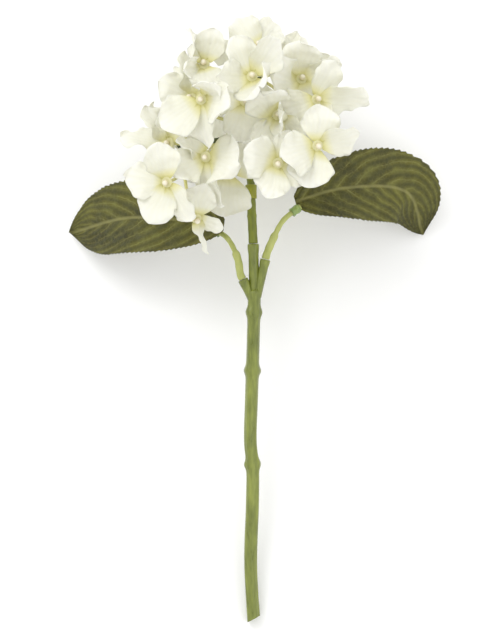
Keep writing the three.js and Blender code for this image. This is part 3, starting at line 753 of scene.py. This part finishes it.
# Eye from the head's centre, yaw and pitch of the face, then each petal as seen from the front:
# direction, lean to the front, share of length, share of width, roll.
frontFlorets = [
    [[45, -19, 71], 12, -8,
     [[201, 28, 0.9, 1.05, 0], [83, 15, 0.88, 0.88, 0], [14, 8, 0.95, 0.85, 50], [255, 5, 0.93, 1.05, 0]]],
    [[21, -30, 73], 0, -10,
     [[166, 46, 0.9, 1.02, 0], [255, 36, 0.85, 0.85, 0], [340, -14, 0.8, 0.8, 0], [60, -22, 0.8, 0.75, 0]]],
    [[21, 1, 52], 5, 10,
     [[104, 72, 0.95, 1.08, 0], [0, 84, 0.8, 0.7, 0], [248, 12, 0.92, 0.92, 0], [312, 5, 0.85, 0.75, 45]]],
    [[1, 10, 44], 0, 0,
     [[265, 26, 0.95, 0.98, 0], [170, 2, 0.75, 0.8, 0], [10, -6, 0.7, 0.75, 0], [90, -18, 0.6, 0.75, 0]]],
    [[5, 21, 46], 0, 15,
     [[322, 82, 0.9, 1.12, 0], [56, 6, 1.02, 0.88, 22], [113, 8, 0.97, 0.85, 25], [175, 42, 0.88, 0.78, 0]]],
    [[-25, 34, 34], -12, 25,
     [[280, 42, 0.7, 0.8, 0], [80, 25, 0.85, 0.74, 0], [113, 8, 0.9, 0.6, 70], [165, 60, 0.65, 0.55, 0]]],
    [[-26, 10, 58], -8, 0,
     [[344, 66, 0.95, 1, 0], [216, 6, 1.05, 0.98, 0], [277, 0, 1.08, 0.78, 50], [68, 78, 0.8, 0.75, 0]]],
    [[-33, 13, 30], -35, 15,
     [[104, 5, 1.05, 0.7, 62], [152, 12, 0.85, 0.78, 0], [200, 30, 0.8, 0.7, 0], [345, -15, 0.85, 0.85, 0]]],
    [[-47, -15, 28], -40, 0,
     [[174, 4, 1.12, 0.82, 54], [85, 42, 0.9, 0.85, 0], [130, 2, 1, 0.72, 52], [250, -30, 0.7, 0.7, 0]]],
    [[-48, -41, 56], -20, -10,
     [[108, 32, 0.92, 0.85, 0], [302, 6, 1, 0.8, 50], [245, 8, 0.98, 0.9, 0], [177, 8, 0.93, 0.9, 0]]],
    [[-24, -25, 50], -12, -8,
     [[341, 55, 1, 1.28, 0], [206, 26, 0.87, 0.85, 0], [284, 0, 1.18, 0.7, 60], [150, 18, 0.75, 0.65, 66]]],
    [[-9, -34, 34], 0, -20,
     [[262, 8, 0.98, 1.22, 0], [35, -10, 0.9, 0.95, 0], [175, -10, 0.85, 0.8, 0], [110, -20, 0.7, 0.7, 0]]],
    [[-30, -63, 39], 20, -35,
     [[334, 0, 0.64, 0.36, 25], [290, 4, 0.86, 0.42, 75], [78, 25, 0.85, 0.78, 0], [150, 30, 0.6, 0.5, 0]]],
    [[45, 11, 46], 30, 8,
     [[3, 4, 1.18, 0.9, 46], [60, 6, 0.95, 0.78, 38], [305, 5, 0.85, 0.7, 50], [200, -15, 0.8, 0.85, 0]]],
    [[36, 25, 30], 15, 25,
     [[160, 62, 1, 1, 0], [84, 38, 0.92, 0.98, 0], [30, 5, 0.98, 0.67, 50], [285, -10, 0.8, 0.85, 0]]],
    [[9, 47, 12], 0, 45,
     [[125, -20, 0.9, 0.8, 0], [55, -28, 0.9, 0.8, 0], [92, -50, 0.9, 0.75, 0], [270, 10, 0.7, 0.7, 0]]],
    [[28, 41, 0], 25, 40,
     [[5, 0, 1, 0.7, 60], [105, -45, 0.85, 0.8, 0], [50, -40, 0.85, 0.75, 0], [250, 0, 0.7, 0.7, 0]]],
]
backFlorets = [
    [[-34, 26, -8], -75, 35, 20, 24],
    [[46, 4, -18], 105, 5, 50, 24],
    [[-46, -6, -14], -110, -5, 35, 24],
    [[4, 40, -28], 175, 45, 15, 22],
    [[-24, -14, -42], -155, -10, 40, 20],
    [[24, -8, -42], 155, -5, 55, 20],
]
branchEnds = [
    [-40, -15, 8],
    [25, -4, 16],
    [-4, 6, 20],
    [8, 27, 4],
    [2, 2, -22],
]


def headPoint(at):
    # A place from the head's centre, moved out or in with the head's radius.
    return headCentre + np.array(at, float) * headShape["radius"] / headShape["nominal"]


def faceWays(yaw, pitch):
    # Right, above and facing of a floret turned by yaw about Y and then raised by pitch:
    # facing = (sin yaw cos pitch, sin pitch, cos yaw cos pitch).
    a, p = np.radians(yaw), np.radians(pitch)
    facing = np.array([np.sin(a) * np.cos(p), np.sin(p), np.cos(a) * np.cos(p)])
    right = np.array([np.cos(a), 0, -np.sin(a)])
    return np.array([right, np.cross(facing, right), facing])


def petalSeen(petal, ways):
    # Turns what is seen from the front into the petal's turn in the face, rise out of it and twist.
    # The tip's way is read along the floret's own ways, and its angles are the turn and the rise.
    direction, lean, reach, breadth, roll = petal
    d, l = np.radians(direction), np.radians(lean)
    tip = np.array([np.cos(l) * np.cos(d), np.cos(l) * np.sin(d), np.sin(l)])
    untwisted, shown = (unit(way - tip * np.dot(way, tip)) for way in (ways[2], np.array([0, 0, 1.0])))
    offset = np.degrees(np.arctan2(np.dot(np.cross(untwisted, shown), tip), np.dot(untwisted, shown)))
    x, y, z = ways @ tip
    twist = offset - 180 * np.round(offset / 180) + roll
    return np.degrees(np.arctan2(y, x)), np.degrees(np.arcsin(z)), reach, breadth, twist


def petalSurface(petal, layer, phase, share, t, level, fine=True):
    # The middle line leaves the hub, tilts up by the rise over its first third and curls back
    # towards the tip. Across it the blade is cupped by the square of the distance and twisted,
    # and the fine skin also has a crease, ribs and a ruffled edge. level picks top or underside.
    turn, rise, reach, breadth, twist = petal
    f = floretShape
    length, width = f["length"] * reach, f["width"] * breadth
    steps = np.linspace(0, 1, 61)
    curl = -10 + 8 * np.sin(phase)
    tilts = np.radians(rise * ramp(steps, 0, 0.3) + 2 * curl * steps**2)
    stride = (length - f["hubRadius"] + 1) / 60
    out = f["hubRadius"] - 1 + np.concatenate([[0], np.cumsum(stride * np.cos(tilts[1:]))])
    rising = np.concatenate([[0], np.cumsum(stride * np.sin(tilts[1:]))])
    out, rising, tilt = (np.interp(share, steps, line) for line in (out, rising, tilts))
    blade = (width / 2) * np.sin(np.pi * np.clip(share, 0, 1) ** 1.1) ** 0.62
    claw = (f["fineClaw"] if fine else f["claw"]) / 2
    half = np.hypot(blade, claw * (1 - share))
    turned = np.radians(twist + 5 * np.sin(1.9 * phase)) * ramp(share, 0, 0.5)
    cup = 0.1 + 0.06 * np.sin(3.1 * phase)
    across = t * half
    lift = 3.2 * cup * across**2 / width + level
    if fine:
        wander = np.sin(9 * share + 4 * phase + 1.5 * np.sign(t)) + 0.5 * np.sin(23 * share + 7 * phase)
        across = across * (1 + f["uneven"] * wander * np.abs(t) * ramp(share, 0.2, 0.5))
        edge = np.abs(t) ** 2.5 * ramp(share, 0.15, 0.6)
        waves = np.sin(7.5 * share + 2.2 * t + 3 * phase) + 0.6 * np.sin(17 * share - 3 * t + 5 * phase)
        lift = lift + f["ruffle"] * width * edge * waves
        creased = ramp(share, 0.05, 0.25) * (1 - ramp(share, 0.7, 1))
        lift = lift - f["crease"] * np.exp(-(across / 1.1) ** 2) * creased
        lift = lift + f["ribs"] * np.sin(across * 2.1 * (1.5 - share) + phase) * ramp(share, 0.2, 0.5)
        lift = lift + f["crumple"] * np.sin(11 * share + 1.3 * t + 2 * phase) * ramp(share, 0.3, 0.7)
    sideways = across * np.cos(turned) - lift * np.sin(turned)
    outwards = across * np.sin(turned) + lift * np.cos(turned)
    stack = 0.5 * (1.5 - layer) * ramp(share, 0, 0.3)
    x, y, z = out - outwards * np.sin(tilt), sideways, rising + outwards * np.cos(tilt) + stack
    a = np.radians(turn)
    point = np.stack([x * np.cos(a) - y * np.sin(a), x * np.sin(a) + y * np.cos(a), z], axis=-1)
    mark = np.stack(np.broadcast_arrays(share, across / 12.0, phase % 1 + 0 * share), axis=-1)
    return point, mark


def phaseOf(number, layer):
    # Sets how a petal curls and waves, so that no two are alike.
    return 1.7 * number + 2.3 * layer


slideStep = 1.5   # mm


def settledEye(number, at, ways, petals):
    # The floret stands out along its facing by as much as the middle of its node's box shows,
    # to the nearest step.
    share = np.array([0, 0.3, 0.7, 0.97])[:, None]
    t, level = np.array([[1, 0, -1, -1, 0, 1]]), np.array([[0.2, 0.5, 0.2, -0.2, -0.5, -0.2]])
    blades = [petalSurface(p, k, phaseOf(number, k), share, t, level, False)[0] for k, p in enumerate(petals)]
    start = headPoint(at)
    world = laid(start + np.array(blades).reshape(-1, 3) @ ways) * 1000
    low, high = np.array(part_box("corolla_%02d" % number)) * 1000
    away = (low + high) / 2 - (world.min(axis=0) + world.max(axis=0)) / 2
    slide = float(np.round(away @ (layTurn @ ways[2]) / slideStep) * slideStep)
    return start + ways[2] * slide


def makeCorolla(number, eye, ways, petals):
    # Four petals, each a top and an underside joined round the edge, and the disc they leave.
    f = floretShape
    share = np.concatenate([np.linspace(0, 0.94, f["rows"]), [0.965, 0.982, 0.993, 0.998]])
    t = np.linspace(1, -1, f["columns"])
    columns = np.concatenate([t, t[::-1]])
    side = np.concatenate([np.ones(len(t)), -np.ones(len(t))])
    skins = []
    for layer, petal in enumerate(petals):
        grids = np.broadcast_arrays(share[:, None], columns[None, :], side[None, :] * f["thickness"] / 2)
        rings, marks = petalSurface(petal, layer, phaseOf(number, layer), *grids)
        skins.append((closed(eye + rings @ ways, marks), 0))
    hub = np.array([[-0.8, 0.5], [-0.74, 0.9], [-0.5, 1], [0.3, 1], [0.7, 0.85], [0.8, 0.5]])
    path = eye + np.outer(hub[:, 0] * f["hubThickness"] / 1.6, ways[2])
    points, quads, fans, marks = tube(path, hub[:, 1] * f["hubRadius"], 20)
    # The disc reads the petal band at 0.12, so it takes the middle's yellow green with its painted shade.
    skins.append(((points, quads, fans, marks * 0 + 0.12), 0))
    return makePiece("floret_%02d" % number, skins, [petalCloth], ["corolla_%02d" % number])


def bezier(ends, count):
    # A cubic curve from the first point to the last, pulled towards the two between them.
    t = np.linspace(0, 1, count)[:, None]
    a, b, c, d = ends
    return (1 - t) ** 3 * a + 3 * (1 - t) ** 2 * t * b + 3 * (1 - t) * t**2 * c + t**3 * d


def stalkEnds(knob, eye, facing, aside, above):
    # Leaves the knob, bows aside half way and comes in straight behind the floret.
    neck = eye - 2.4 * facing
    reach = np.linalg.norm(knob - neck)
    sideways = unit(np.cross(facing, (0, 1, 0.01)))
    bow = sideways * aside + np.cross(sideways, facing) * above
    late = neck - 0.4 * reach * facing + bow / 2
    early = (knob + late) / 2 + bow
    start = knob + unit(early - knob) * (headShape["knobRadius"] + stemSizes["gap"])
    return start, early, late, neck


def stalkRoute(number, eye, facing):
    # Of the knobs and the 25 bows, the pair whose box comes closest to the node's.
    low, high = np.array(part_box("pedicel_%02d" % number)) * 1000
    top = eye + facing * (floretShape["hubThickness"] / 2 + stemSizes["gap"])
    pearl = top + facing * floretShape["pearlRadius"]
    radius, bead = floretShape["pedicelRadius"], floretShape["pearlRadius"]
    best = None
    for knob in sorted(knobs, key=lambda k: np.linalg.norm(k - eye)):
        for size, turn in [(0, 0)] + [(s, a) for s in (6, 11, 16) for a in range(0, 360, 45)]:
            aside, above = size * np.cos(np.radians(turn)), size * np.sin(np.radians(turn))
            ends = stalkEnds(knob, eye, facing, aside, above)
            line = laid(np.vstack([bezier(ends, 5), top])) * 1000
            middle = laid(pearl) * 1000
            lows = np.minimum(line.min(axis=0) - radius, middle - bead)
            highs = np.maximum(line.max(axis=0) + radius, middle + bead)
            miss = np.abs(lows - low).sum() + np.abs(highs - high).sum()
            if best is None or miss < best[0]:
                best = (miss, ends)
    return best[1], top


def makePedicel(number, eye, facing):
    # A thin stalk that ends in a bead in front of the floret.
    f = floretShape
    ends, top = stalkRoute(number, eye, facing)
    line = np.vstack([bezier(ends, 26), [top]])
    stalk = tube(line, np.full(len(line), f["pedicelRadius"] * 0.95), 12)
    angle = np.linspace(-1.35, 1.4, 14)
    bead = top + np.outer(f["pearlRadius"] * (1 + np.sin(angle)), facing)
    return makePiece("pedicel_%02d" % number,
                     [(stalk, 0), (tube(bead, f["pearlRadius"] * np.cos(angle), 22), 1)],
                     [plastics["palePlastic"], pearlBead], ["pedicel_%02d" % number])


def makeBranch(number, knob):
    # A rod from the crown to the round knob that the stalks leave.
    h = headShape
    away = unit(knob - crown)
    start = crown + away * (stemSizes["crownRadius"] + stemSizes["gap"])
    share = np.linspace(0, 1, 24)
    rod = tube(smoothPath([start, knob], share), h["branchRadius"] * (1 + 0.05 * np.sin(share * 25)), 16)
    return makePiece("branch_%d" % number, [(rod, 0), (roundBall(knob, h["knobRadius"] * 0.96, 14), 0)],
                     [plastics["rodPlastic"]], ["branch_%d" % number])


knobs = [headPoint(end) for end in branchEnds]
for number, knob in enumerate(knobs, 1):
    makeBranch(number, knob)

florets = [(at, yaw, pitch, petals, True) for at, yaw, pitch, petals in frontFlorets]
florets += [(at, yaw, pitch, [(turn + 90 * k, rise + 3 * k, 0.95, 0.9, 0) for k in range(4)], False)
            for at, yaw, pitch, turn, rise in backFlorets]
for number, (at, yaw, pitch, petals, seen) in enumerate(florets, 1):
    ways = faceWays(yaw, pitch)
    if seen:
        petals = [petalSeen(petal, ways) for petal in petals]
    eye = settledEye(number, at, ways, petals)
    makeCorolla(number, eye, ways, petals)
    makePedicel(number, eye, ways[2])
print("florets made")


studio = {
    "cameraAt": (-1.92, 192.0, 2000.0),   # upright, mm
    "halfHeight": 206.08,                 # mm seen above and below the middle
    "key": 6.5, "fill": 1.8, "sky": 1.05,
    "floor": -0.0005, "floorReach": 3.0,  # m, its height and half its width
}


def makeFloor():
    # A square, faintly uneven in tone.
    mesh = bpy.data.meshes.new("floor")
    reach = studio["floorReach"]
    corners = [(x * reach, y * reach, studio["floor"]) for x, y in ((-1, -1), (1, -1), (1, 1), (-1, 1))]
    mesh.from_pydata(corners, [], [(0, 1, 2, 3)])
    floor = bpy.data.objects.new("floor", mesh)
    bpy.context.scene.collection.objects.link(floor)
    material, tree, shader, where = startMaterial("paleFloor", Roughness=0.9)
    patch = useGroup(tree, mottle, Vector=where, Patch=0.4, Contrast=0.5)["Mask"]
    tree.links.new(mixed(tree, patch, tone(250, 250, 249), tone(252, 252, 252)), shader.inputs["Base Color"])
    mesh.materials.append(material)


def addLight(name, at, aim, energy, size):
    # A soft square light, turned to face its aim.
    lamp = bpy.data.lights.new(name, "AREA")
    lamp.energy, lamp.size = energy, size
    light = bpy.data.objects.new(name, lamp)
    light.location = at
    light.rotation_euler = (Vector(aim) - Vector(at)).to_track_quat("-Z", "Y").to_euler()
    bpy.context.scene.collection.objects.link(light)


def addCamera():
    # Looks straight down the upright Z. Its lens is half the sensor times the distance, over half of
    # the height that it sees.
    at = Vector(laid(studio["cameraAt"]))
    data = bpy.data.cameras.new("camera")
    data.sensor_fit = "VERTICAL"
    data.sensor_height = 36
    data.lens = 18 * studio["cameraAt"][2] / studio["halfHeight"]
    data.clip_end = 20
    camera = bpy.data.objects.new("camera", data)
    camera.matrix_world = Matrix.Translation(at) @ Matrix(layTurn.tolist()).to_4x4()
    bpy.context.scene.collection.objects.link(camera)
    bpy.context.scene.camera = camera


makeFloor()
world = bpy.data.worlds.new("studio")
world.use_nodes = True
world.node_tree.nodes["Background"].inputs[0].default_value = (1, 1, 1, 1)
world.node_tree.nodes["Background"].inputs[1].default_value = studio["sky"]
bpy.context.scene.world = world
addLight("key", (-0.7, 0.8, 1.2), (0, 0.1, 0.05), studio["key"], 0.8)
addLight("fill", (0.9, -0.3, 1.3), (0, 0.05, 0.05), studio["fill"], 1.2)
addCamera()
print("studio ready")
